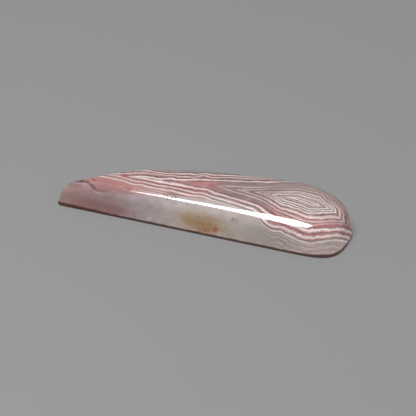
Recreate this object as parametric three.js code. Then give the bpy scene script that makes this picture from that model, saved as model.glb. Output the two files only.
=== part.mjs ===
import * as THREE from "three";

// Botswana agate cabochon: one polished stone with a flat back, a steep wall all round
// and a low domed face. Seen from above it is a long half-teardrop: one straight long edge,
// a small blunt tip at one end and a wide round nose at the other.
// Millimetres, +Z up. The stone lies on its flat back at z = 0, with the origin under the
// middle of its box. +X runs along the straight edge towards the nose, and the straight
// edge faces -Y.

// Outline of the widest part. The layout has the tip at x = 0, and y = 0 where the straight
// edge starts to turn into the nose.
const LENGTH = 60;
const STRAIGHT_END = 51.2;
const TIP_FLARE = 0.85; // how much further out the straight edge is at the tip
const BACK_Y = 18.9; // the curved back edge's furthest point
const NOSE_Y = 8.9; // the nose's furthest point, across from the straight edge
const BACK_X = 43; // where the curved back edge is furthest from the straight one
const TIP_RADIUS = 1.1;
const TIP_ANGLE = THREE.MathUtils.degToRad(41.5); // between the two edges at the tip

// How far each curve of the outline holds its end directions.
const NOSE_FRONT_PULLS = [7.8, 6.8];
const NOSE_BACK_PULLS = [6.6, 7.6];
const BACK_PULLS = [22.5, 18];

// Section through the wall and the face.
const CHAMFER = 0.3; // small bevel round the flat back
const WALL_TOP = 5.7; // from that bevel up to where the shoulder has turned level
const WALL_ANGLE = THREE.MathUtils.degToRad(76); // from the flat back
const SHOULDER_RADIUS = 3;
const WALL_DEPTH =
  (WALL_TOP - SHOULDER_RADIUS * (1 - Math.cos(WALL_ANGLE))) / Math.tan(WALL_ANGLE);
const SHOULDER_DEPTH = WALL_DEPTH + SHOULDER_RADIUS * Math.sin(WALL_ANGLE);
const WALL_SHARE = 0.85; // most of a rib that the wall and its shoulder may take
const DOME_RADIUS = 34;
const TIP_DROP = 1.1; // the face is this much lower at the tip
const TIP_DROP_REACH = 13.8; // and rises to its full height this far from it

// The face is highest along a spine, and every rib of the surface runs down from it.
const SPINE_START = new THREE.Vector2(6.5, 2.8);
const SPINE_END = new THREE.Vector2(50.6, 9);

// Ribs along the straight edge, the two halves of the nose, the back edge and the tip.
const RIBS = [36, 14, 14, 40, 8];
const SHOULDER_STEPS = 7;
const FACE_STEPS = 7;
const FACE_COVER = 0.9; // the ribs stop short of the spine, and a narrow strip closes the face

const POLISHED_AGATE = new THREE.MeshStandardMaterial({
  color: 0xb79a98,
  roughness: 0.12,
  metalness: 0,
});

// The closed outline as points, starting at the tip and running along the straight edge.
function outlinePoints() {
  const tipCentre = new THREE.Vector2(TIP_RADIUS, TIP_RADIUS - TIP_FLARE);
  const alongBack = new THREE.Vector2(Math.cos(TIP_ANGLE), Math.sin(TIP_ANGLE));
  const outOfBack = new THREE.Vector2(-alongBack.y, alongBack.x);
  const tipTop = tipCentre.clone().addScaledVector(outOfBack, TIP_RADIUS);
  const straightStart = new THREE.Vector2(TIP_RADIUS, -TIP_FLARE);
  const straightEnd = new THREE.Vector2(STRAIGHT_END, 0);
  const alongFront = straightEnd.clone().sub(straightStart).normalize();
  const nose = new THREE.Vector2(LENGTH, NOSE_Y);
  const back = new THREE.Vector2(BACK_X, BACK_Y);
  const curves = [
    new THREE.LineCurve(straightStart, straightEnd),
    new THREE.CubicBezierCurve(
      straightEnd,
      straightEnd.clone().addScaledVector(alongFront, NOSE_FRONT_PULLS[0]),
      new THREE.Vector2(LENGTH, NOSE_Y - NOSE_FRONT_PULLS[1]),
      nose,
    ),
    new THREE.CubicBezierCurve(
      nose,
      new THREE.Vector2(LENGTH, NOSE_Y + NOSE_BACK_PULLS[0]),
      new THREE.Vector2(BACK_X + NOSE_BACK_PULLS[1], BACK_Y),
      back,
    ),
    new THREE.CubicBezierCurve(
      back,
      new THREE.Vector2(BACK_X - BACK_PULLS[0], BACK_Y),
      tipTop.clone().addScaledVector(alongBack, BACK_PULLS[1]),
      tipTop,
    ),
    new THREE.EllipseCurve(
      tipCentre.x,
      tipCentre.y,
      TIP_RADIUS,
      TIP_RADIUS,
      outOfBack.angle(),
      1.5 * Math.PI,
    ),
  ];
  return curves.flatMap((curve, i) => curve.getPoints(RIBS[i]).slice(0, -1));
}

// The rib of one outline point: where it meets the spine, its length, and how much the wall
// is squeezed to leave room for the face where the stone is narrow.
function ribFrom(point) {
  const spine = SPINE_END.clone().sub(SPINE_START);
  const along = point.clone().sub(SPINE_START).dot(spine) / spine.lengthSq();
  const share = THREE.MathUtils.clamp(along, 0, 1);
  const foot = SPINE_START.clone().addScaledVector(spine, share);
  const reach = point.distanceTo(foot);
  const crowding = SHOULDER_DEPTH / (WALL_SHARE * reach);
  return { point, foot, reach, squeeze: (1 + crowding ** 4) ** -0.25 };
}

// Height of the straight wall and then its shoulder, at an unsqueezed distance in.
function wallHeight(inset) {
  if (inset <= WALL_DEPTH) return inset * Math.tan(WALL_ANGLE);
  const left = Math.max(SHOULDER_DEPTH - inset, 0);
  return WALL_TOP - SHOULDER_RADIUS + Math.sqrt(SHOULDER_RADIUS ** 2 - left ** 2);
}

// A surface point on a rib, at a distance in from the outline.
function facePoint(rib, inset) {
  const at = rib.point.clone().lerp(rib.foot, inset / rib.reach);
  const drop = TIP_DROP * (1 - THREE.MathUtils.smoothstep(at.x, 0, TIP_DROP_REACH));
  const crown = (rib.foot.y ** 2 - (rib.reach - inset) ** 2) / (2 * DOME_RADIUS);
  const share = wallHeight(inset / rib.squeeze) / WALL_TOP;
  return new THREE.Vector3(at.x, at.y, CHAMFER + share * (WALL_TOP - drop + crown));
}

// One rib: from the flat back out round the bevel, up the wall and over the face.
function ribPoints(rib) {
  const bevel = rib.point.clone().lerp(rib.foot, CHAMFER / rib.reach);
  const points = [new THREE.Vector3(bevel.x, bevel.y, 0), facePoint(rib, 0)];
  for (let step = 0; step <= SHOULDER_STEPS; step++) {
    const turn = (1 - step / SHOULDER_STEPS) * WALL_ANGLE;
    const inset = SHOULDER_DEPTH - SHOULDER_RADIUS * Math.sin(turn);
    points.push(facePoint(rib, inset * rib.squeeze));
  }
  const first = SHOULDER_DEPTH * rib.squeeze;
  for (let step = 1; step <= FACE_STEPS; step++) {
    const inset = THREE.MathUtils.lerp(first, rib.reach * FACE_COVER, step / FACE_STEPS);
    points.push(facePoint(rib, inset));
  }
  return points;
}

// The closed surface: the ribs side by side, the flat back below and the strip on top.
function stoneGeometry() {
  const ribs = outlinePoints().map((point) => ribPoints(ribFrom(point)));
  const rows = ribs[0].length;
  const index = [];
  ribs.forEach((_, i) => {
    const here = i * rows;
    const next = ((i + 1) % ribs.length) * rows;
    for (let row = 0; row < rows - 1; row++) {
      index.push(here + row, next + row + 1, here + row + 1);
      index.push(here + row, next + row, next + row + 1);
    }
  });
  const flat = (row) => ribs.map((rib) => new THREE.Vector2(rib[row].x, rib[row].y));
  for (const [a, b, c] of THREE.ShapeUtils.triangulateShape(flat(0), []))
    index.push(a * rows, c * rows, b * rows);
  for (const corners of THREE.ShapeUtils.triangulateShape(flat(rows - 1), []))
    index.push(...corners.map((corner) => corner * rows + rows - 1));
  const geometry = new THREE.BufferGeometry().setFromPoints(ribs.flat());
  geometry.setIndex(index);
  geometry.translate(-LENGTH / 2, (TIP_FLARE - BACK_Y) / 2, 0);
  geometry.computeVertexNormals();
  return geometry;
}

const stone = new THREE.Mesh(stoneGeometry(), POLISHED_AGATE);
stone.name = "cabochon";

const part = new THREE.Group();
part.add(stone);

export default part;
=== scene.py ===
"""The look of the botswana agate cabochon: its smooth polished surface and its growth layers.

Sizes are in millimetres in the stone's layout, where the tip is at x = 0 and the straight edge
ends at y = 0, and become metres of the part's own frame when a mesh is made.

The layers lie tilted in the stone: each one keeps to a line of x and depth, where depth is
y + z - DEPTH_ZERO. So one map of the layers, in x and depth, gives the marks of the wall, the
face, the far side and the back alike.
"""

import math

import bmesh
import bpy
import numpy as np
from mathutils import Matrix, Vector


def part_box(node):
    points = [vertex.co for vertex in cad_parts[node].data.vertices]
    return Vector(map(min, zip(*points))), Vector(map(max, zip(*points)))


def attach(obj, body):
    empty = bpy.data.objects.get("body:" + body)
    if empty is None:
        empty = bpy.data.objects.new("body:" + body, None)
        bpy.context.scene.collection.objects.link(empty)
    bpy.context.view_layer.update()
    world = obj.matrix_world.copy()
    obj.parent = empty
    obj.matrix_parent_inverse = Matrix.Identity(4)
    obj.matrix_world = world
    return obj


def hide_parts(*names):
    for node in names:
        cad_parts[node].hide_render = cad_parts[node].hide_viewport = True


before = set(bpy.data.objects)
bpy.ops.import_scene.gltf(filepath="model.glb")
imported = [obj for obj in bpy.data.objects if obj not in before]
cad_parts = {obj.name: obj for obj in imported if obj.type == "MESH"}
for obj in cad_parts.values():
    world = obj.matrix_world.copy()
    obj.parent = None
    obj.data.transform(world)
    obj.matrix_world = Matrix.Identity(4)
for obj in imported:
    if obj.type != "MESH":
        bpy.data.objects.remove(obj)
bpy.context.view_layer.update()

MM = 0.001
lowest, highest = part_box("cabochon")
LENGTH = (highest.x - lowest.x) / MM
WIDTH = (highest.y - lowest.y) / MM

# Outline and section of the stone, the same as its solid's.
STRAIGHT_END = 51.2
TIP_FLARE = 0.85
BACK_Y = WIDTH - TIP_FLARE
MIDDLE_Y = (BACK_Y - TIP_FLARE) / 2
NOSE_Y = 8.9
BACK_X = 43
TIP_RADIUS = 1.1
TIP_ANGLE = math.radians(41.5)
NOSE_FRONT_PULLS = (7.8, 6.8)
NOSE_BACK_PULLS = (6.6, 7.6)
BACK_PULLS = (22.5, 18)
CHAMFER = 0.3
WALL_TOP = 5.7
WALL_ANGLE = math.radians(76)
SHOULDER_RADIUS = 3
WALL_DEPTH = (WALL_TOP - SHOULDER_RADIUS * (1 - math.cos(WALL_ANGLE))) / math.tan(WALL_ANGLE)
SHOULDER_DEPTH = WALL_DEPTH + SHOULDER_RADIUS * math.sin(WALL_ANGLE)
WALL_SHARE = 0.85
DOME_RADIUS = 34
TIP_DROP = 1.1
TIP_DROP_REACH = 13.8
SPINE_START = np.array((6.5, 2.8))
SPINE_END = np.array((50.6, 9.0))

# Fineness of the mesh.
OUTLINE_STEPS = 500
SPINE_RIBS = 150
NOSE_RIBS = 90
TIP_RIBS = 110
FACE_ROWS = 26
SHOULDER_ROWS = 14
WALL_ROWS = 9
BEVEL_ROWS = 6
BACK_ROWS = 24
BEVEL_FULLNESS = 1.8  # 1 is a sharp chamfer and 2 a quarter round
FAN_OVERLAP = 1  # outline this far before a spine end also shapes that end's fan of ribs

DEPTH_ZERO = 6  # y + z of the points whose depth is 0

# Growth layers are numbered from the outside in: odd ones are light and even ones dark. A family
# is a set of layers, the stations across which they run, and where they are at each station.
LOWER_LAYERS = (1, 3, 5, 7, 9, 13, 17)
LOWER_DEPTHS = {  # x: depth of each layer that runs along the straight edge
    0: (4.4, 5.4, 6.6, 8.4, 11.0, 15.0, 19.0),
    8: (4.0, 5.0, 6.4, 8.4, 11.0, 15.0, 19.0),
    12: (3.9, 5.0, 6.2, 8.4, 11.0, 15.0, 19.0),
    13.6: (3.8, 4.85, 6.05, 8.4, 11.0, 15.0, 19.0),
    15: (3.5, 4.55, 5.9, 8.4, 11.0, 15.0, 19.0),
    17: (3.75, 4.85, 6.1, 8.5, 11.0, 15.0, 19.0),
    19: (3.65, 4.8, 6.1, 8.55, 10.9, 14.9, 18.8),
    24: (3.85, 5.0, 6.3, 8.6, 10.5, 14.5, 18.0),
    28: (3.8, 4.9, 6.5, 8.1, 9.6, 13.0, 17.0),
    30: (4.2, 5.3, 6.8, 8.0, 9.2, 12.3, 16.0),
    32: (3.8, 4.8, 6.2, 7.8, 8.7, 11.6, 15.0),
    36: (3.3, 4.3, 5.8, 7.3, 8.0, 10.3, 13.6),
    40: (2.6, 3.6, 5.2, 6.6, 7.5, 9.4, 12.2),
    42: (2.2, 3.0, 4.7, 6.2, 7.0, 8.9, 11.4),
    44: (-0.1, 1.0, 3.5, 5.1, 6.0, 8.2, 10.6),
    46: (-1.2, 0.0, 2.2, 3.8, 4.8, 7.1, 9.9),
    48: (-1.1, 0.1, 1.7, 3.1, 4.5, 6.9, 9.7),
    50: (-1.8, -0.4, 1.3, 2.7, 4.0, 6.5, 9.3),
    52: (-2.3, -1.1, 0.7, 2.0, 3.4, 6.0, 8.8),
    54: (-2.2, -0.9, 0.8, 2.6, 3.6, 6.7, 9.8),
    56: (-1.2, 0.0, 1.8, 3.8, 4.8, 7.8, 11.0),
    58: (0.0, 1.3, 3.2, 5.0, 5.9, 8.6, 12.0),
    60: (1.6, 3.1, 5.1, 6.6, 7.4, 9.7, 13.0),
}
UPPER_LAYERS = (1, 3, 5, 7, 9, 13, 17)
UPPER_DEPTHS = {  # x: depth of each layer that runs along the curved edge
    8: (6.0, 5.0, 4.0, 2.6, 1.4, -1.4, -4.0),
    14: (8.7, 7.5, 6.2, 4.3, 2.6, 0.0, -3.0),
    16: (9.4, 8.3, 7.0, 5.2, 3.4, 0.6, -2.0),
    18: (9.5, 8.6, 7.1, 5.5, 3.8, 1.1, -1.5),
    20: (9.8, 8.95, 7.55, 5.8, 4.2, 1.6, -1.0),
    21.9: (10.5, 9.55, 8.35, 6.5, 4.8, 2.3, -0.2),
    22.8: (10.75, 9.5, 8.3, 6.65, 5.05, 2.6, 0.1),
    24.2: (11.3, 9.9, 8.7, 7.05, 5.45, 3.1, 0.7),
    26.2: (11.75, 10.5, 9.55, 7.7, 6.1, 3.8, 1.5),
    27.4: (12.75, 11.75, 10.1, 8.1, 6.4, 4.2, 2.0),
    28.5: (12.65, 11.6, 10.4, 8.5, 6.9, 4.6, 2.4),
    30.3: (13.1, 11.9, 10.85, 9.2, 7.9, 5.4, 3.4),
    32: (13.7, 12.6, 11.4, 10.0, 8.9, 6.2, 4.0),
    36: (14.7, 13.8, 12.5, 11.2, 10.1, 7.6, 5.6),
    40: (15.9, 15.2, 13.9, 12.3, 11.3, 9.5, 7.4),
    44: (17.2, 16.6, 15.6, 14.2, 13.3, 11.2, 8.9),
    48: (18.0, 17.4, 16.6, 15.3, 14.4, 12.7, 10.4),
    52: (18.0, 17.2, 16.4, 15.2, 14.2, 12.4, 9.9),
}
NOSE_LAYERS = (5, 7, 9, 11, 13, 17)
NOSE_PLACES = {  # depth: x of each layer that runs round the nose
    -6: (65.0, 64.0, 63.0, 62.0, 61.0, 59.0),
    5: (60.5, 59.9, 59.2, 58.6, 57.9, 56.5),
    7: (60.3, 59.5, 58.6, 57.9, 57.2, 55.6),
    9: (60.0, 58.9, 58.0, 57.4, 56.6, 54.2),
    10: (59.6, 58.4, 57.4, 56.8, 55.9, 52.5),
    11: (58.9, 57.7, 56.5, 55.5, 53.9, 50.8),
    12: (58.0, 56.4, 54.9, 53.7, 52.8, 50.0),
    13: (57.0, 55.3, 53.8, 52.7, 51.6, 49.0),
    15: (55.0, 53.0, 51.5, 50.3, 49.0, 46.0),
}

# Colours of the stone, as they look in this scene's light.
WHITE = (242, 231, 228)
CREAM = (222, 206, 192)
PALE = (206, 180, 177)
PINK = (184, 147, 144)
ROSE = (168, 123, 121)
SALMON = (172, 112, 105)
RUST = (158, 100, 90)
CRIMSON = (150, 93, 95)
PLUM = (136, 102, 105)
BLUSH = (162, 123, 123)
BROWN = (120, 89, 86)
UMBER = (78, 57, 54)
MAUVE = (152, 129, 127)
GREY = (136, 127, 125)
PIT = (92, 66, 60)
ASH = (182, 170, 167)
FLINT = (150, 142, 139)
SLATE = (133, 124, 121)
# painted reflection: the grey that a glancing reflection gives the far edge
PAINTED_REFLECTION = (160, 151, 145)
EYE_HAZE = (144, 127, 125)
MILK_RIM = (172, 158, 163)
PALE_WISP = (196, 187, 184)
DULL_WISP = (150, 128, 125)
# painted shade: the dark red-brown of the shaded bevel and the contact shadow under the stone
PAINTED_SHADE = (58, 23, 12)
DUSK = (0.86, 0.93, 0.93, 1)  # linear, and multiplied with the colour under it

# Colour of the growth layers by number, for three stretches of the stone.
TIP_BANDS = (
    (-6.0, BLUSH), (-4.6, BLUSH), (-3.9, ROSE), (-3.3, BLUSH), (-2.7, ROSE), (-2.2, SALMON),
    (-1.9, RUST), (-1.5, SALMON), (-1.0, ROSE), (-0.5, SALMON), (0.0, ROSE), (0.3, SALMON),
    (0.6, PINK), (0.85, CREAM), (1.1, WHITE), (1.35, PALE), (1.7, PINK), (2.05, BROWN),
    (2.35, ROSE), (2.75, PINK), (3.05, PALE), (3.25, WHITE), (3.5, PINK), (3.85, CRIMSON),
    (4.2, CRIMSON), (4.5, ROSE), (4.85, PALE), (5.15, WHITE), (5.4, PALE), (5.7, PLUM),
    (6.0, CRIMSON), (6.5, SALMON), (6.9, ROSE), (7.4, SALMON), (7.9, CRIMSON), (8.4, SALMON),
    (8.9, ROSE), (9.6, CRIMSON), (12.0, SALMON),
)
MIDDLE_BANDS = (
    (-3.0, ASH), (-1.7, PALE), (-1.3, GREY), (-1.05, GREY), (-0.6, PALE), (-0.1, ROSE),
    (0.2, ROSE), (0.55, PINK), (0.8, ASH), (1.0, WHITE), (1.3, ASH), (1.8, GREY),
    (2.1, SLATE), (2.4, MAUVE), (2.8, ASH), (3.15, WHITE), (3.5, ASH), (3.85, MAUVE),
    (4.15, BROWN), (4.5, ROSE), (4.85, PALE), (5.15, WHITE), (5.4, ASH), (5.7, BROWN),
    (6.1, PLUM), (6.45, ROSE), (6.8, PLUM), (7.15, GREY), (7.45, ROSE), (7.75, PLUM),
    (8.1, MAUVE), (8.35, PINK), (8.6, PLUM), (8.85, PALE), (9.0, WHITE), (9.2, PINK),
    (9.45, PLUM), (9.7, MAUVE), (10.0, BROWN), (10.3, PINK), (10.55, MAUVE), (10.85, PALE),
    (11.15, MAUVE), (11.45, PINK), (11.7, MAUVE), (12.0, PLUM), (12.4, BROWN), (12.8, PINK),
    (13.1, PALE), (13.4, PINK), (13.7, PLUM), (14.0, PALE), (14.25, PINK), (14.55, PLUM),
    (14.85, GREY), (15.1, ASH), (15.3, WHITE), (15.55, ASH), (15.95, BROWN), (16.4, PALE),
)
NOSE_BANDS = (
    (-3.0, ASH), (0.0, ASH), (0.45, PINK), (0.8, ASH), (1.1, WHITE), (1.4, ASH),
    (1.75, MAUVE), (2.05, PLUM), (2.4, PINK), (2.8, PALE), (3.15, WHITE), (3.4, ASH),
    (3.7, ROSE), (4.05, CRIMSON), (4.4, BROWN), (4.7, PINK), (4.95, PALE), (5.2, WHITE),
    (5.45, ASH), (5.75, PLUM), (6.1, CRIMSON), (6.5, CRIMSON), (6.9, ROSE), (7.3, PINK),
    (7.6, ROSE), (7.9, PINK), (8.2, BROWN), (8.5, PLUM), (8.8, PALE), (9.1, ASH),
    (9.4, PINK), (9.75, CRIMSON), (10.05, BROWN), (10.35, PINK), (10.7, PALE), (11.0, WHITE),
    (11.3, PINK), (11.6, PALE), (11.95, BROWN), (12.3, PLUM), (12.65, PINK), (12.9, PALE),
    (13.15, WHITE), (13.4, ASH), (13.7, PLUM), (14.0, ASH), (14.15, WHITE), (14.4, ASH),
    (14.7, PLUM), (15.0, ASH), (15.25, WHITE), (15.55, ASH), (15.95, BROWN), (16.25, PINK),
    (16.5, PALE), (16.8, PLUM), (17.15, WHITE), (17.45, ASH), (17.85, PLUM), (18.2, PALE),
    (18.45, WHITE), (18.75, ASH), (19.15, BROWN), (19.6, PALE), (19.9, WHITE), (20.8, PINK),
)
# The same for the layers along the curved edge, which are thinner and greyer.
FAR_BANDS = (
    (-8.0, ROSE), (-7.6, PALE), (-7.3, WHITE), (-7.0, PINK), (-6.6, PLUM), (-6.2, BROWN),
    (-5.9, PINK), (-5.5, PALE), (-5.2, WHITE), (-4.9, PALE), (-4.5, MAUVE), (-4.1, PLUM),
    (-3.7, ASH), (-3.4, WHITE), (-3.1, ASH), (-2.7, FLINT), (-2.2, SLATE), (-1.7, FLINT),
    (-1.1, SLATE), (-0.5, FLINT), (0.0, SLATE), (0.28, UMBER), (0.45, UMBER), (0.7, MAUVE),
    (0.9, PALE), (1.1, WHITE), (1.35, PALE), (1.65, PINK), (1.95, ROSE), (2.18, UMBER),
    (2.36, UMBER), (2.55, ROSE), (2.75, PALE), (2.95, WHITE), (3.2, PINK), (3.6, ROSE),
    (4.05, ROSE), (4.32, UMBER), (4.5, UMBER), (4.75, PINK), (4.95, PALE), (5.2, WHITE),
    (5.5, PALE), (5.8, ROSE), (6.1, CRIMSON),
)
FAR_FOLD = 14  # past the outermost of those layers the same ones come again, in turned order

MILK_BANDS = (  # colours of the milky zone under the layers, by x
    (1.2, (160, 132, 126)),
    (6, (156, 126, 125)),
    (12, (157, 129, 130)),
    (18, (168, 153, 154)),
    (27, (184, 174, 170)),
    (39, (184, 173, 168)),
    (47, (165, 154, 149)),
    (55, (178, 162, 157)),
)

# Top of the milky zone, as x: depth.
MILK_TOP = {
    0: 0.6,
    3: 0.7,
    6: 0.9,
    7.5: 0.0,
    8.8: -1.0,
    10.4: -0.4,
    12: 0.0,
    15: 0.1,
    18: 0.3,
    22: 1.6,
    26: 2.4,
    30: 3.2,
    36: 2.8,
    42: 1.7,
    44: -0.6,
    46: -1.6,
    50: -2.3,
    53: -2.8,
    56: -1.8,
    60: 0.4,
}

# Single marks: centre x and depth, half length, half width, turn in degrees, colour, strength.
MARKS = (
    (11.0, 0.3, 4.8, 1.6, 2, (146, 104, 104), 0.6),
    (12.6, 5.8, 1.0, 0.55, 12, (148, 80, 72), 0.9),
    (5.2, 1.9, 1.8, 0.5, 30, (150, 92, 88), 0.8),
    (6.2, 2.5, 1.7, 0.5, 35, (190, 120, 110), 0.7),
    (7.0, 2.4, 1.0, 0.4, -30, (140, 74, 68), 0.85),
    (7.5, 0.2, 2.1, 0.6, -36, (112, 74, 76), 0.85),
    (9.8, -0.5, 1.7, 0.5, 5, (134, 94, 95), 0.7),
    (4.3, 1.05, 2.2, 0.6, 8, (88, 56, 54), 0.95),
    (2.5, 0.1, 1.5, 0.35, 44, (112, 82, 80), 0.7),
    (6.0, 1.25, 1.0, 0.4, -10, (108, 66, 66), 0.75),
    (11.2, 2.4, 3.2, 0.28, 3, (170, 112, 104), 0.6),
    (15.2, 1.4, 0.5, 0.9, -12, (156, 100, 92), 0.6),
    (18.9, 3.0, 1.0, 0.3, -4, (186, 124, 110), 0.6),
    (3.4, -0.4, 2.2, 0.9, 12, (132, 102, 106), 0.6),
    (14.0, 0.5, 2.0, 0.5, 0, (152, 118, 122), 0.5),
    (16.2, -0.6, 1.0, 0.5, 10, (172, 158, 163), 0.5),
    (12.4, 0.2, 0.6, 0.35, 0, (168, 150, 154), 0.5),
    (8.4, 4.7, 0.7, 0.3, 20, (92, 78, 74), 0.7),
    (7.6, 4.2, 0.9, 0.25, 10, CREAM, 0.6),
    (10.2, -4.7, 8.4, 1.7, 0, (142, 104, 100), 0.7),  # the reddish foot of the tip's wall
    (2.2, -3.9, 1.4, 1.2, 0, (158, 134, 122), 0.6),
    (31.2, -3.1, 6.8, 3.5, 0, (176, 148, 114), 0.8),  # the brown stain's halo, then its cores
    (29.3, -3.4, 2.8, 1.7, -4, (164, 128, 92), 0.6),
    (32.9, -3.8, 3.0, 1.7, -8, (156, 120, 82), 0.7),
    (38.5, -4.2, 4.5, 1.8, 0, (166, 146, 126), 0.3),
    (31.6, -4.9, 1.8, 0.7, 0, (154, 104, 78), 0.6),
    (24.9, 3.1, 2.8, 0.26, 2, (112, 80, 76), 0.75),
    (18.9, 4.3, 1.3, 0.24, 6, (116, 82, 78), 0.7),
    (25.2, 4.6, 1.6, 0.24, 6, (112, 78, 76), 0.7),
    (24.2, 5.7, 3.0, 0.3, 0, (124, 68, 72), 0.6),
    (33.4, -1.6, 2.4, 1.1, 10, (166, 142, 116), 0.5),
    (32.6, -4.8, 0.7, 0.5, 0, (142, 92, 70), 0.5),
    (34.4, -4.1, 0.55, 0.9, -20, (162, 90, 70), 0.85),  # the red spot in the stain
    (38.2, -0.6, 1.1, 0.9, 0, (160, 126, 120), 0.45),
    (20.3, -5.0, 0.8, 0.5, 15, (196, 184, 178), 0.8),  # a pale fleck at the foot of the wall
)
# Tiny pits in the polish: centre x and depth, half length, half width, turn in degrees.
PITS = (
    (22.6, 2.3, 0.2, 0.22, 0),
    (23.3, 2.1, 0.16, 0.5, 12),
    (24.4, 1.9, 0.24, 0.26, 0),
    (25.1, 2.3, 0.18, 0.55, 10),
    (23.7, 1.1, 0.18, 0.3, 0),
    (28.0, 1.1, 0.36, 0.16, 20),
    (30.7, -1.8, 0.14, 0.5, 4),
    (37.8, -0.5, 0.26, 0.32, 0),
)


# The solid's surface


def bezier(start, pull_out, pull_in, end):
    t = np.linspace(0, 1, OUTLINE_STEPS, endpoint=False)[:, None]
    points = [np.array(p, float) for p in (start, pull_out, pull_in, end)]
    weights = ((1 - t) ** 3, 3 * (1 - t) ** 2 * t, 3 * (1 - t) * t**2, t**3)
    return sum(weight * point for weight, point in zip(weights, points))


def dense_outline():
    """The widest part of the stone as closely spaced points, anticlockwise from the tip."""
    tip_centre = np.array((TIP_RADIUS, TIP_RADIUS - TIP_FLARE))
    along_back = np.array((math.cos(TIP_ANGLE), math.sin(TIP_ANGLE)))
    out_of_back = np.array((-along_back[1], along_back[0]))
    tip_top = tip_centre + TIP_RADIUS * out_of_back
    straight_start = np.array((TIP_RADIUS, -TIP_FLARE))
    straight_end = np.array((STRAIGHT_END, 0))
    along_front = (straight_end - straight_start) / math.dist(straight_start, straight_end)
    nose = np.array((LENGTH, NOSE_Y))
    back = np.array((BACK_X, BACK_Y))
    turn = np.linspace(TIP_ANGLE + math.pi / 2, 1.5 * math.pi, OUTLINE_STEPS)[:, None]
    return np.concatenate(
        [
            np.linspace(straight_start, straight_end, OUTLINE_STEPS, endpoint=False),
            bezier(
                straight_end,
                straight_end + NOSE_FRONT_PULLS[0] * along_front,
                nose - (0, NOSE_FRONT_PULLS[1]),
                nose,
            ),
            bezier(nose, nose + (0, NOSE_BACK_PULLS[0]), back + (NOSE_BACK_PULLS[1], 0), back),
            bezier(back, back - (BACK_PULLS[0], 0), tip_top + BACK_PULLS[1] * along_back, tip_top),
            tip_centre + TIP_RADIUS * np.hstack([np.cos(turn), np.sin(turn)]),
        ]
    )


def spine_ribs():
    """Feet, directions and lengths of the ribs that run out from the spine to the outline."""
    spine = SPINE_END - SPINE_START
    length = np.hypot(*spine)
    ahead = spine / length
    left = np.array((-ahead[1], ahead[0]))
    outline = dense_outline()
    along = (outline - SPINE_START) @ ahead
    aside = (outline - SPINE_START) @ left

    def reach_at(wanted, known, distance):
        order = np.argsort(known)
        return np.interp(wanted, known[order], distance[order])

    def fan(end, near, first_turn, count):
        """Turns and reaches of the ribs that fan out from one end of the spine."""
        low = first_turn - math.pi / 2
        angles = (np.arctan2(aside[near], along[near] - end) - low) % (2 * math.pi) + low
        turns = np.linspace(first_turn, first_turn + math.pi, count + 2)[1:-1]
        return turns, reach_at(turns, angles, np.hypot(aside[near], along[near] - end))

    stations = np.linspace(0, length, SPINE_RIBS + 1)
    front = aside < 0
    front_reach = reach_at(stations, along[front], -aside[front])
    back_reach = reach_at(stations, along[~front], aside[~front])
    nose_turns, nose_reach = fan(length, along > length - FAN_OVERLAP, -math.pi / 2, NOSE_RIBS)
    tip_turns, tip_reach = fan(0, along < FAN_OVERLAP, math.pi / 2, TIP_RIBS)

    count = len(stations)
    turns = np.concatenate(
        [np.full(count, -math.pi / 2), nose_turns, np.full(count, math.pi / 2), tip_turns]
    )
    directions = np.cos(turns)[:, None] * ahead + np.sin(turns)[:, None] * left
    places = np.arange(count)
    foot_ids = np.concatenate(
        [places, np.full(NOSE_RIBS, count - 1), places[::-1], np.zeros(TIP_RIBS, int)]
    )
    feet = SPINE_START + stations[:, None] * ahead
    reaches = np.concatenate([front_reach, nose_reach, back_reach[::-1], tip_reach])
    return feet, foot_ids, directions, reaches


def smoothstep(value, low, high):
    share = np.clip((value - low) / (high - low), 0, 1)
    return share**2 * (3 - 2 * share)


def wall_height(inset):
    """Height of the straight wall and then its shoulder, at an unsqueezed distance in."""
    left = np.clip(SHOULDER_DEPTH - inset, 0, SHOULDER_RADIUS)
    shoulder = WALL_TOP - SHOULDER_RADIUS + np.sqrt(SHOULDER_RADIUS**2 - left**2)
    return np.where(inset <= WALL_DEPTH, inset * math.tan(WALL_ANGLE), shoulder)


def dome_height(x, foot_y, out):
    """Height of the face over the bevel, at a distance out from the spine."""
    drop = TIP_DROP * (1 - smoothstep(x, 0, TIP_DROP_REACH))
    return WALL_TOP - drop + (foot_y**2 - out**2) / (2 * DOME_RADIUS)


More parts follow.
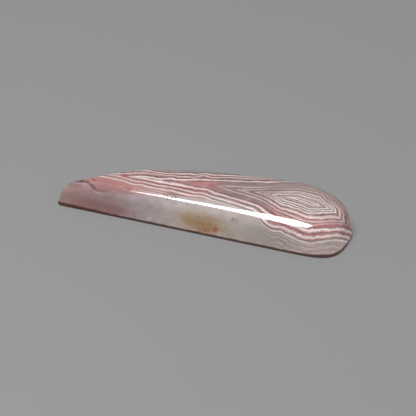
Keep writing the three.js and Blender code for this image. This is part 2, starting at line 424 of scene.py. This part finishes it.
def surface_rows(foot, directions, reaches):
    """Rows of points from the spine out, down the wall and in again on the back.

    Where a rib is short, its wall and shoulder are squeezed to leave room for the face. Also
    gives how many of the rows come before the flat back.
    """
    squeeze = (1 + (SHOULDER_DEPTH / (WALL_SHARE * reaches)) ** 4) ** -0.25
    shoulder_end = SHOULDER_DEPTH * squeeze
    insets = [
        reaches + (shoulder_end - reaches) * share
        for share in np.linspace(0, 1, FACE_ROWS + 1)[1:]
    ]
    for turn in np.linspace(0, WALL_ANGLE, SHOULDER_ROWS + 1)[1:]:
        insets.append((SHOULDER_DEPTH - SHOULDER_RADIUS * math.sin(turn)) * squeeze)
    for share in np.linspace(1, 0, WALL_ROWS + 1)[1:]:
        insets.append(WALL_DEPTH * share * squeeze)

    def out_by(distance):
        return foot + directions * distance[:, None]

    rows = []
    for inset in insets:
        flat = out_by(reaches - inset)
        dome = dome_height(flat[:, 0], foot[:, 1], reaches - inset)
        height = CHAMFER + wall_height(inset / squeeze) / WALL_TOP * dome
        rows.append(np.column_stack([flat, height]))
    for turn in np.linspace(0, math.pi / 2, BEVEL_ROWS + 1)[1:]:
        inset = CHAMFER * (1 - math.cos(turn) ** (2 / BEVEL_FULLNESS))
        height = CHAMFER * (1 - math.sin(turn) ** (2 / BEVEL_FULLNESS))
        rows.append(np.column_stack([out_by(reaches - inset), np.full(len(foot), height)]))
    wall_rows = len(rows)
    for share in np.linspace(1, 0, BACK_ROWS + 1)[1:-1]:
        flat = out_by((reaches - CHAMFER) * share)
        rows.append(np.column_stack([flat, np.zeros(len(foot))]))
    return rows, wall_rows


# Growth layers

FIELDS = ("lower_layers", "upper_layers", "nose_layers", "above_milk")


def smooth_through(stations, values, at):
    """A smooth curve through the values at the stations, and straight on past both ends."""
    slopes = np.gradient(values, stations)
    inside = np.clip(at, stations[0], stations[-1])
    i = np.clip(np.searchsorted(stations, inside) - 1, 0, len(stations) - 2)
    gap = (stations[1:] - stations[:-1])[i]
    t = (inside - stations[i]) / gap
    rise = (1 - t) ** 2 * ((1 + 2 * t) * values[i] + t * gap * slopes[i])
    fall = t**2 * ((3 - 2 * t) * values[i + 1] - (1 - t) * gap * slopes[i + 1])
    beyond = np.where(at < stations[0], slopes[0], slopes[-1]) * (at - inside)
    return rise + fall + beyond


def layer_number(layers, places_at, across, place):
    """Number of the growth layer at each point, which counts on evenly past the outer layers."""
    stations = np.array(list(places_at), float)
    table = np.array(list(places_at.values()), float)
    lines = [smooth_through(stations, column, across) for column in table.T]
    number = np.full(len(place), float(layers[0]))
    last = len(lines) - 2
    for i in range(last + 1):
        share = (place - lines[i]) / (lines[i + 1] - lines[i])
        share = np.clip(share, None if i == 0 else 0, None if i == last else 1)
        number += (layers[i + 1] - layers[i]) * share
    return number


def layer_fields(points):
    """The layer number that each family gives at the points, and their depth above the milk."""
    x = points[:, 0]
    depth = points[:, 1] + points[:, 2] - DEPTH_ZERO
    lower = layer_number(LOWER_LAYERS, LOWER_DEPTHS, x, depth)
    upper = layer_number(UPPER_LAYERS, UPPER_DEPTHS, x, depth)
    nose = layer_number(NOSE_LAYERS, NOSE_PLACES, depth, x)
    above_milk = depth - np.interp(x, list(MILK_TOP), list(MILK_TOP.values()))
    return dict(zip(FIELDS, (lower, upper, nose, above_milk)))


# Mesh

MAP_MARGIN = 1.0
MAP_WALL = 7.0  # room that the unrolled wall takes outside the outline
BACK_MAP_Y = WIDTH + 2 * MAP_WALL + MAP_MARGIN


def stone_mesh():
    feet, foot_ids, directions, reaches = spine_ribs()
    rows, wall_rows = surface_rows(feet[foot_ids], directions, reaches)
    top_feet = np.column_stack([feet, CHAMFER + dome_height(feet[:, 0], feet[:, 1], 0)])
    bottom_feet = np.column_stack([feet, np.zeros(len(feet))])
    points = np.concatenate([top_feet, *rows, bottom_feet])
    outward = np.zeros((len(points), 2))
    outward[len(feet) : -len(feet)] = np.tile(directions, (len(rows), 1))

    ribs = len(foot_ids)
    first_row = len(feet)
    bottom = first_row + len(rows) * ribs
    faces = []
    on_back = []

    def close(from_feet, row, upward):
        """Faces between the spine's points and the row of points next to them."""
        for rib in range(ribs):
            after = (rib + 1) % ribs
            foot = from_feet + foot_ids[rib]
            next_foot = from_feet + foot_ids[after]
            corners = [foot, row + rib, row + after]
            if next_foot != foot:
                corners.append(next_foot)
            faces.append(corners if upward else corners[::-1])
            on_back.append(not upward)

    close(0, first_row, True)
    for row in range(1, len(rows)):
        there = first_row + row * ribs
        here = there - ribs
        for rib in range(ribs):
            after = (rib + 1) % ribs
            faces.append([here + rib, there + rib, there + after, here + after])
            on_back.append(row >= wall_rows)
    close(bottom, bottom - ribs, False)

    mesh = bpy.data.meshes.new("cabochon_stone")
    centred = (points - (LENGTH / 2, MIDDLE_Y, 0)) * MM
    mesh.from_pydata(centred.tolist(), [], faces)
    mesh.shade_smooth()
    for name, values in layer_fields(points).items():
        mesh.attributes.new(name, "FLOAT", "POINT").data.foreach_set("value", values)
    unroll(mesh, points, outward, np.array(on_back))
    return mesh


def unroll(mesh, points, outward, on_back):
    """A map with the face and its wall as one island and the flat back as another above it."""
    lowered = np.clip(WALL_TOP - points[:, 2:], 0, MAP_WALL)
    flat = points[:, :2] + (0, TIP_FLARE)
    face_map = flat + outward * lowered + MAP_WALL
    back_map = flat + (MAP_WALL, BACK_MAP_Y)
    size = (LENGTH + 2 * MAP_WALL, BACK_MAP_Y + WIDTH + MAP_MARGIN)
    corners = np.empty(len(mesh.loops), int)
    mesh.loops.foreach_get("vertex_index", corners)
    counts = np.empty(len(mesh.polygons), int)
    mesh.polygons.foreach_get("loop_total", counts)
    use_back = np.repeat(on_back, counts)[:, None]
    spots = np.where(use_back, back_map[corners], face_map[corners]) / size
    mesh.uv_layers.new(name="OFBake").uv.foreach_set("vector", spots.astype(np.float32).ravel())


# Shading

RAMP_STOPS = 32  # the most that one colour ramp takes
LIGHT_GAIN = 1.85  # how much brighter than its base colour the face looks

# Closeness of the noise in x, depth and across the layers' tilt.
EVEN_GRAIN = (1, 1, 0.4)
LONG_GRAIN = (0.45, 1, 0.3)
BENT_GRAIN = (1, 0.45, 0.2)
HAIRLINE_GRAIN = (2.4, 0.15)  # in layer number and x

# Noises: amount, closeness, detail and roughness.
BENDS = ((0.7, 0.25), (0.8, 0.9), (0.4, 2.6))
KINKS = (1, 0.8, 3, 0.6)
WANDER = (8, 0.2)
PATCHES = (0.9, 0.45, 3)
HAIRLINES = (0.9, 1, 3, 0.6)
MILK_WANDER = (5, 0.25)
MILK_CLOUDS = (0.5, 0.5, 4, 0.6)
MILK_SWIRLS = (9, 0.8, 5, 0.65)
MILK_PATCHES = (1, 0.35, 3)
MILK_RAGGED = (1.6, 1, 5, 0.6)
MARK_RAGGED = (1.2, 1.6, 4, 0.65)
PAINTED_SHADE_RAGGED = (0.4, 0.8, 3)

FAMILY_BLEND = 0.3  # how many layers round off where two families meet
WISP_TURNS = 3.1  # radians of the wisps' wave for each layer
PIT_DARKNESS = 0.85

# Steps: the values where each starts and ends, and its amounts there if they aren't 0 and 1.
KINKS_ALONG = (40, 52, 0.7, 1.25)
KINKS_INWARD = (16, 12, 0.4, 1)
OUTER_SHIFT = (1.1, 0.4, 0, 14)  # the outermost layers take on the next stretch's colours sooner
TIP_TO_MIDDLE = (29, 35)
MIDDLE_TO_NOSE = (42, 47)
PALE_PATCHES = (-0.1, 0.3, 0, 0.35)
TIP_ROSE = (20, 12, 0, 0.3)
FAR_ROSE_ALONG = (23, 18, 0, 0.6)
FAR_ROSE_OUTWARD = (1, -0.5)
FAR_SIDE = (-0.3, 0.4)  # in layers that the lower family is ahead of the upper one
FAR_INWARD = (6.2, 5.2)
# painted reflection on the far side's outer layers; HAZE_SIDE also keeps the eye haze to the far
# side
HAZE_SIDE = (0.5, 2, 0, 0.6)
PAINTED_REFLECTION_ALONG = (31, 37)
PAINTED_REFLECTION_OUTWARD = (4.4, 3.4)
EYE_HAZE_ALONG = (40, 45)
EYE_HAZE_END = (57, 52.5, 0.15, 1)
EYE_HAZE_OUTWARD = (13.3, 12.3)
MILK_EDGE = (12, 20, 0.25, 0.7)  # softness of the milk's upper edge
MILK_RIM_UP = (-1.3, -0.2)
MILK_RIM_ALONG = (26, 12, 0, 0.55)
WISPS_ALONG = (39, 42)
WISPS_UP = (-5, -1.5)
WISPS_IN_PATCHES = (-0.15, 0.15, 0.25)
PALE_WISPS = (0.1, 1, 0, 0.75)
DULL_WISPS = (-0.2, -1, 0, 0.45)
MARK_EDGE = (1.15, 0.35)
PIT_EDGE = (1.1, 0.7)
PIT_UP = (0.5, 1)  # no pits on the flat back
# painted light: the nose's front wall and its end are made paler where the scene's light is weaker
FRONT_PAINTED_LIGHT_ALONG = (44, 56, 0, 0.22)
FRONT_PAINTED_LIGHT_DOWN = (7, 3)
END_PAINTED_LIGHT_ALONG = (57.6, 59.1, 0, 0.5)
END_PAINTED_LIGHT_DOWN = (10, 7)
DUSK_ALONG = (28, 34)
DUSK_NEAR_NOSE = (47, 42, 0.4)
DUSK_UP = (5.2, 7)
DUSK_FAR_EDGE = (14, 12.5)
PAINTED_SHADE_ALONG = (14, 3, 0.55, 0.75)  # the painted shade reaches this high, and higher at the tip
PAINTED_SHADE_NOSE = (51, 57, 0, 0.15)  # and this much higher round the nose's front, as a painted shadow
PAINTED_SHADE_FRONT = (2.5, -1)
PAINTED_SHADE_EDGE = (1.5, 1.0, 0, 0.92)
FACE_TO_BACK = (0.02, 0, 0.05, 0.35)  # roughness of the polish, and of the ground back at z = 0

STONE_IOR = 1.54
PIT_ROUGHNESS = 0.6
GLOW_THROUGH = 0.12  # share of the light that scatters just under the surface
GLOW_RADII = (1.0, 0.6, 0.5)
GLOW_SCALE = 0.5 * MM


def srgb(red, green, blue, gain=1.0):
    """A colour of 0 to 255 as the linear colour that a shader takes, divided by the gain."""

    def linear(level):
        share = level / 255
        return share / 12.92 if share <= 0.04045 else ((share + 0.055) / 1.055) ** 2.4

    return (linear(red) / gain, linear(green) / gain, linear(blue) / gain, 1)


def seen(colour):
    """The base colour that looks like this one in the scene's light."""
    return srgb(*colour, gain=LIGHT_GAIN)


class Shader:
    """The node tree of a material or a world, with a short call for each kind of node."""

    def __init__(self, owner):
        owner.use_nodes = True
        self.tree = owner.node_tree
        self.tree.nodes.clear()

    def add(self, kind, inputs=(), **settings):
        node = self.tree.nodes.new("ShaderNode" + kind)
        for name, value in settings.items():
            setattr(node, name, value)
        for key, value in dict(inputs).items():
            self.set(node.inputs[key], value)
        return node

    def set(self, socket, value):
        if isinstance(value, bpy.types.NodeSocket):
            self.tree.links.new(value, socket)
        else:
            socket.default_value = value

    def show(self, closure, output="OutputMaterial"):
        self.set(self.add(output).inputs["Surface"], closure)

    def math(self, operation, *values):
        node = self.add("Math", enumerate(values), operation=operation)
        return node.outputs[0]

    def chain(self, operation, first, *others):
        """The operation on the first two values, then on its result and the next, and so on."""
        for value in others:
            first = self.math(operation, first, value)
        return first

    def vector(self, x=0.0, y=0.0, z=0.0):
        return self.add("CombineXYZ", {"X": x, "Y": y, "Z": z}).outputs["Vector"]

    def between(self, value, low, high, start=0.0, end=1.0, curve="SMOOTHSTEP"):
        """A step of the value from low to high, smooth if no other curve is named."""
        inputs = {"Value": value, "From Min": low, "From Max": high, "To Min": start, "To Max": end}
        return self.add("MapRange", inputs, interpolation_type=curve).outputs["Result"]

    def where(self, *steps):
        """The product of smooth steps, each given as a value and its step."""
        return self.chain("MULTIPLY", *(self.between(value, *step) for value, step in steps))

    def noise(self, vector, amount, scale, detail=2.0, roughness=0.5, base=0.0):
        """Noise about the base, mostly within a quarter of the amount."""
        inputs = {"Vector": vector, "Scale": scale, "Detail": detail, "Roughness": roughness}
        centred = self.math("SUBTRACT", self.add("TexNoise", inputs).outputs["Fac"], 0.5)
        return self.math("MULTIPLY_ADD", centred, amount, base)

    def mix(self, factor, first, second, blend="MIX"):
        node = self.add("Mix", data_type="RGBA", blend_type=blend)
        self.set(node.inputs["Factor"], factor)
        self.set(node.inputs["A"], first)
        self.set(node.inputs["B"], second)
        return node.outputs["Result"]

    def ramp(self, factor, stops):
        node = self.add("ValToRGB", {"Fac": factor})
        node.color_ramp.interpolation = "EASE"
        elements = node.color_ramp.elements
        while len(elements) < len(stops):
            elements.new(1)
        for element, (place, colour) in zip(elements, stops):
            element.position = place
            element.color = colour
        return node.outputs["Color"]

    def bands(self, value, stops):
        """Colours along the value, as many ramps laid end to end as the stops need."""
        colour = None
        for first in range(0, len(stops) - 1, RAMP_STOPS - 1):
            part = stops[first : first + RAMP_STOPS]
            low, high = part[0][0], part[-1][0]
            share = self.math("DIVIDE", self.math("SUBTRACT", value, low), high - low)
            places = [((place - low) / (high - low), seen(tone)) for place, tone in part]
            ramp = self.ramp(share, places)
            past = self.math("GREATER_THAN", value, low)
            colour = self.mix(past, colour, ramp) if colour else ramp
        return colour


def stone_places(shader):
    """x, depth and height in the stone's layout, and the place across the layers' tilt."""
    place = shader.add("TexCoord").outputs["Object"]
    axes = shader.add("SeparateXYZ", {"Vector": place}).outputs
    x = shader.math("MULTIPLY_ADD", axes["X"], 1 / MM, LENGTH / 2)
    y = shader.math("MULTIPLY_ADD", axes["Y"], 1 / MM, MIDDLE_Y)
    z = shader.math("MULTIPLY", axes["Z"], 1 / MM)
    depth = shader.math("SUBTRACT", shader.math("ADD", y, z), DEPTH_ZERO)
    return x, depth, z, shader.math("SUBTRACT", z, y)


def grain(shader, places, closeness):
    """A vector for noise, from the places and how close the noise is in each of them."""
    pairs = zip(places, closeness)
    return shader.vector(*(shader.math("MULTIPLY", place, share) for place, share in pairs))


def bent_layers(shader, families, x, along, bent):
    """The layer number where the families meet, with the layers' bends and kinks."""
    number = families[0]
    for family in families[1:]:
        number = shader.math("SMOOTH_MIN", number, family, FAMILY_BLEND)
    for bend in BENDS:
        number = shader.noise(along, *bend, base=number)
    kinks = shader.noise(bent, *KINKS)
    amount = shader.where((x, KINKS_ALONG), (number, KINKS_INWARD))
    return shader.math("MULTIPLY_ADD", kinks, amount, number)


def near_colours(shader, x, number, even):
    """Colours of the layers along the straight edge and round the nose."""
    place = shader.noise(even, *WANDER, base=x)
    place = shader.math("ADD", place, shader.between(number, *OUTER_SHIFT))
    colour = shader.bands(number, TIP_BANDS)
    for step, stops in ((TIP_TO_MIDDLE, MIDDLE_BANDS), (MIDDLE_TO_NOSE, NOSE_BANDS)):
        colour = shader.mix(shader.between(place, *step), colour, shader.bands(number, stops))
    patches = shader.between(shader.noise(even, *PATCHES), *PALE_PATCHES)
    colour = shader.mix(patches, colour, seen(PALE))
    return shader.mix(shader.between(x, *TIP_ROSE), colour, seen(ROSE))


def far_colours(shader, x, number):
    """Colours of the layers along the curved edge."""
    low = FAR_BANDS[0][0]
    folded = shader.math("PINGPONG", shader.math("SUBTRACT", number, low), FAR_FOLD)
    colour = shader.bands(shader.math("ADD", folded, low), FAR_BANDS)
    rose = shader.where((x, FAR_ROSE_ALONG), (number, FAR_ROSE_OUTWARD))
    return shader.mix(rose, colour, seen(ROSE))


def layer_colours(shader, x, number, ahead, even):
    """Colours of all the growth layers, with a painted reflection and a haze past the middle, and
    fine lines along them.
    """
    far = shader.where((ahead, FAR_SIDE), (number, FAR_INWARD))
    colour = shader.mix(far, near_colours(shader, x, number, even), far_colours(shader, x, number))
    # painted reflection: the grey of the glancing reflection on the far side's outer layers
    haze = shader.where((x, PAINTED_REFLECTION_ALONG), (number, PAINTED_REFLECTION_OUTWARD), (ahead, HAZE_SIDE))
    colour = shader.mix(haze, colour, seen(PAINTED_REFLECTION))
    over_eye = ((x, EYE_HAZE_ALONG), (x, EYE_HAZE_END), (number, EYE_HAZE_OUTWARD))
    haze = shader.where(*over_eye, (ahead, HAZE_SIDE))
    colour = shader.mix(haze, colour, seen(EYE_HAZE))
    thread = grain(shader, (number, x), HAIRLINE_GRAIN)
    return shader.mix(1.0, colour, shader.noise(thread, *HAIRLINES, base=1.0), "MULTIPLY")


def milk_colours(shader, x, number, above, even):
    """Milky chalcedony below the layers, mauve near the tip and with pale wisps near the nose."""
    milk = shader.bands(shader.noise(even, *MILK_WANDER, base=x), MILK_BANDS)
    milk = shader.mix(1.0, milk, shader.noise(even, *MILK_CLOUDS, base=1.0), "MULTIPLY")
    rim = shader.where((above, MILK_RIM_UP), (x, MILK_RIM_ALONG))
    milk = shader.mix(rim, milk, seen(MILK_RIM))
    swirls = shader.noise(even, *MILK_SWIRLS)
    wave = shader.math("SINE", shader.math("MULTIPLY_ADD", number, WISP_TURNS, swirls))
    patches = shader.noise(even, *MILK_PATCHES)
    zone = shader.where((x, WISPS_ALONG), (above, WISPS_UP), (patches, WISPS_IN_PATCHES))
    for step, colour in ((PALE_WISPS, PALE_WISP), (DULL_WISPS, DULL_WISP)):
        share = shader.math("MULTIPLY", zone, shader.between(wave, *step))
        milk = shader.mix(share, milk, seen(colour))
    return milk


def paint_nose_light_and_darken_face(shader, colour, x, depth):
    """Paints light on the nose's front and end, and makes the face's right half darker and less
    red.
    """
    # painted light on the nose's front and end
    front = shader.where((x, FRONT_PAINTED_LIGHT_ALONG), (depth, FRONT_PAINTED_LIGHT_DOWN))
    end = shader.where((x, END_PAINTED_LIGHT_ALONG), (depth, END_PAINTED_LIGHT_DOWN))
    colour = shader.mix(1.0, colour, shader.chain("ADD", front, end, 1.0), "MULTIPLY")
    face = ((x, DUSK_ALONG), (x, DUSK_NEAR_NOSE), (depth, DUSK_UP), (depth, DUSK_FAR_EDGE))
    return shader.mix(shader.where(*face), colour, DUSK, "MULTIPLY")


def from_spot(shader, plane, ragged, centre_x, centre_depth, half_length, half_width, turn):
    """How far each point is from the middle of a ragged spot, where its rim is at 1."""
    local = shader.add(
        "Mapping",
        {
            "Vector": plane,
            "Location": (centre_x, centre_depth, 0),
            "Rotation": (0, 0, math.radians(turn)),
            "Scale": (half_length, half_width, 1),
        },
        vector_type="TEXTURE",
    ).outputs["Vector"]
    away = shader.add("VectorMath", {0: local}, operation="LENGTH").outputs["Value"]
    return shader.math("ADD", away, ragged)


def add_marks(shader, colour, x, depth, z, even):
    """Stains, streaks and pits. Gives the colour and how much of each point is a pit."""
    plane = shader.vector(x, depth)
    ragged = shader.noise(even, *MARK_RAGGED)
    for *place, mark, strength in MARKS:
        away = from_spot(shader, plane, ragged, *place)
        colour = shader.mix(shader.between(away, *MARK_EDGE, 0, strength), colour, seen(mark))
    away = shader.chain("MINIMUM", *(from_spot(shader, plane, ragged, *place) for place in PITS))
    pits = shader.where((away, PIT_EDGE), (z, PIT_UP))
    return shader.mix(shader.math("MULTIPLY", pits, PIT_DARKNESS), colour, seen(PIT)), pits


def add_painted_shade(shader, colour, x, depth, z, even):
    """Painted shade and shadow, dark red-brown, on the bevel round the back and the wall's foot."""
    # painted shade: darkens the bevel and the wall's foot, higher at the tip and round the nose's
    # front
    nose = shader.where((x, PAINTED_SHADE_NOSE), (depth, PAINTED_SHADE_FRONT))
    top = shader.math("ADD", shader.between(x, *PAINTED_SHADE_ALONG), nose)
    height = shader.math("DIVIDE", shader.noise(even, *PAINTED_SHADE_RAGGED, base=z), top)
    return shader.mix(shader.between(height, *PAINTED_SHADE_EDGE), colour, srgb(*PAINTED_SHADE))


def agate_material():
    material = bpy.data.materials.new("agate")
    shader = Shader(material)
    x, depth, z, across = stone_places(shader)
    grains = (EVEN_GRAIN, LONG_GRAIN, BENT_GRAIN)
    even, along, bent = (grain(shader, (x, depth, across), closeness) for closeness in grains)
    lower, upper, nose, above_milk = (
        shader.add("Attribute", attribute_name=name).outputs["Fac"] for name in FIELDS
    )
    number = bent_layers(shader, (lower, upper, nose), x, along, bent)
    bands = layer_colours(shader, x, number, shader.math("SUBTRACT", lower, upper), even)
    above_milk = shader.noise(even, *MILK_RAGGED, base=above_milk)
    milk = milk_colours(shader, x, number, above_milk, even)
    soft = shader.between(x, *MILK_EDGE)
    inside = shader.between(above_milk, shader.math("MULTIPLY", soft, -1), soft)
    colour = shader.mix(inside, milk, bands)
    colour = paint_nose_light_and_darken_face(shader, colour, x, depth)
    colour, pits = add_marks(shader, colour, x, depth, z, even)
    colour = add_painted_shade(shader, colour, x, depth, z, even)
    polish = shader.between(z, *FACE_TO_BACK)
    surface = shader.add(
        "BsdfPrincipled",
        {
            "Base Color": colour,
            "Roughness": shader.math("MULTIPLY_ADD", pits, PIT_ROUGHNESS, polish),
            "IOR": STONE_IOR,
            "Subsurface Weight": GLOW_THROUGH,
            "Subsurface Radius": GLOW_RADII,
            "Subsurface Scale": GLOW_SCALE,
        },
    )
    shader.show(surface.outputs["BSDF"])
    return material


def add_object(name, mesh, material):
    added = bpy.data.objects.new(name, mesh)
    bpy.context.collection.objects.link(added)
    mesh.materials.append(material)
    return added


def add_stone():
    stone = add_object("cabochon_stone", stone_mesh(), agate_material())
    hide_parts("cabochon")
    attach(stone, "root")


# Floor, light and camera

FLOOR_SIZE = 3000 * MM
FLOOR_GAP = 0.02 * MM  # keeps the floor out of the flat back's own plane
FLOOR_CLEAR = 0.1 * MM  # rays shorter than this leave the flat back, and pass the floor
FLOOR_PAPER = (56, 56, 56)
FLOOR_ROUGHNESS = 0.9
FLOOR_GLOW_COLOUR = (146, 146, 146)
FLOOR_GLOW = 0.67
PANEL_HEIGHT = 300
PANEL_FADE = 3
PANEL_CORNERS = (  # a softbox overhead whose reflection is the long highlight in the shoulder
    (-113, -112),
    (-105, -82),
    (-100, -108),
    (-88, -122),
    (-80, -172),
    (-79, -268),
    (-66, -282),
    (-22, -238),
    (14, -128),
    (10, -102),
    (-21, -82),
    (-54, -67),
    (-62, -30),
    (-70, -6),
    (-84, -32),
    (-93, -24),
    (-103, -48),
    (-110, -76),
)
PANEL_GLOW = 35
SKY_GLOW = 0.46
SIDE_GLOW = 0.7  # what the sky gains towards the nose
UNDER_GLOW = 2.0
UNDER_FADE = -0.3  # the lower half is at full glow from this far below the horizon
CAMERA_AZIMUTH = math.radians(21)
CAMERA_ELEVATION = math.radians(34)
CAMERA_DISTANCE = 400 * MM
CAMERA_SIDE = -0.54 * MM
CAMERA_RISE = 0.28 * MM
CAMERA_LENS = 170
CAMERA_SENSOR = 36


def add_floor():
    """Grey paper that shows only from above, so that the stone's flat back can be looked at."""
    edge = FLOOR_SIZE / 2
    corners = [(-edge, -edge), (edge, -edge), (edge, edge), (-edge, edge)]
    mesh = bpy.data.meshes.new("floor")
    mesh.from_pydata([(x, y, -FLOOR_GAP) for x, y in corners], [], [(0, 1, 2, 3)])
    material = bpy.data.materials.new("floor_paper")
    shader = Shader(material)
    paper = shader.add(
        "BsdfPrincipled",
        {
            "Base Color": srgb(*FLOOR_PAPER),
            "Roughness": FLOOR_ROUGHNESS,
            "Emission Color": srgb(*FLOOR_GLOW_COLOUR),
            "Emission Strength": FLOOR_GLOW,
        },
    )
    below = shader.add("NewGeometry").outputs["Backfacing"]
    near = shader.math("LESS_THAN", shader.add("LightPath").outputs["Ray Length"], FLOOR_CLEAR)
    clear = shader.add("BsdfTransparent")
    surface = shader.add("MixShader", {"Fac": shader.math("MAXIMUM", below, near)})
    shader.set(surface.inputs[1], paper.outputs["BSDF"])
    shader.set(surface.inputs[2], clear.outputs["BSDF"])
    shader.show(surface.outputs["Shader"])
    add_object("floor", mesh, material)


def add_panel():
    """The softbox, whose glow fades out over a strip along its edges."""
    shape = bmesh.new()
    glow = shape.verts.layers.float.new("glow")
    corners = [shape.verts.new((x * MM, y * MM, PANEL_HEIGHT * MM)) for x, y in PANEL_CORNERS]
    face = shape.faces.new(corners)
    bmesh.ops.inset_region(shape, faces=[face], thickness=PANEL_FADE * MM, use_even_offset=True)
    for corner in face.verts:
        corner[glow] = 1
    mesh = bpy.data.meshes.new("panel")
    shape.to_mesh(mesh)
    shape.free()
    material = bpy.data.materials.new("panel_glow")
    shader = Shader(material)
    share = shader.add("Attribute", attribute_name="glow").outputs["Fac"]
    strength = shader.math("MULTIPLY", share, PANEL_GLOW)
    light = shader.add("Emission", {"Color": (1, 1, 1, 1), "Strength": strength})
    shader.show(light.outputs["Emission"])
    panel = add_object("panel", mesh, material)
    panel.visible_camera = False


def add_world():
    """A soft sky, a little brighter at the nose, with a lower half that only the back sees."""
    world = bpy.data.worlds.new("studio")
    bpy.context.scene.world = world
    shader = Shader(world)
    place = shader.add("TexCoord").outputs["Generated"]
    axes = shader.add("SeparateXYZ", {"Vector": place}).outputs
    sky = shader.between(axes["X"], 0, 1, SKY_GLOW, SKY_GLOW + SIDE_GLOW, "LINEAR")
    under = shader.between(axes["Z"], 0, UNDER_FADE, 0, UNDER_GLOW - SKY_GLOW, "LINEAR")
    strength = shader.math("ADD", sky, under)
    background = shader.add("Background", {"Color": (1, 1, 1, 1), "Strength": strength})
    shader.show(background.outputs["Background"], "OutputWorld")


def add_camera():
    flat = math.cos(CAMERA_ELEVATION)
    back = Vector(
        (
            math.sin(CAMERA_AZIMUTH) * flat,
            -math.cos(CAMERA_AZIMUTH) * flat,
            math.sin(CAMERA_ELEVATION),
        )
    )
    right = Vector((math.cos(CAMERA_AZIMUTH), math.sin(CAMERA_AZIMUTH), 0))
    up = back.cross(right)
    data = bpy.data.cameras.new("camera")
    data.lens = CAMERA_LENS
    data.sensor_width = CAMERA_SENSOR
    camera = bpy.data.objects.new("camera", data)
    bpy.context.collection.objects.link(camera)
    camera.location = right * CAMERA_SIDE + up * CAMERA_RISE + back * CAMERA_DISTANCE
    camera.rotation_mode = "QUATERNION"
    camera.rotation_quaternion = (-back).to_track_quat("-Z", "Y")
    bpy.context.scene.camera = camera


add_stone()
add_floor()
add_panel()
add_world()
add_camera()
bpy.context.scene.view_settings.view_transform = "Standard"
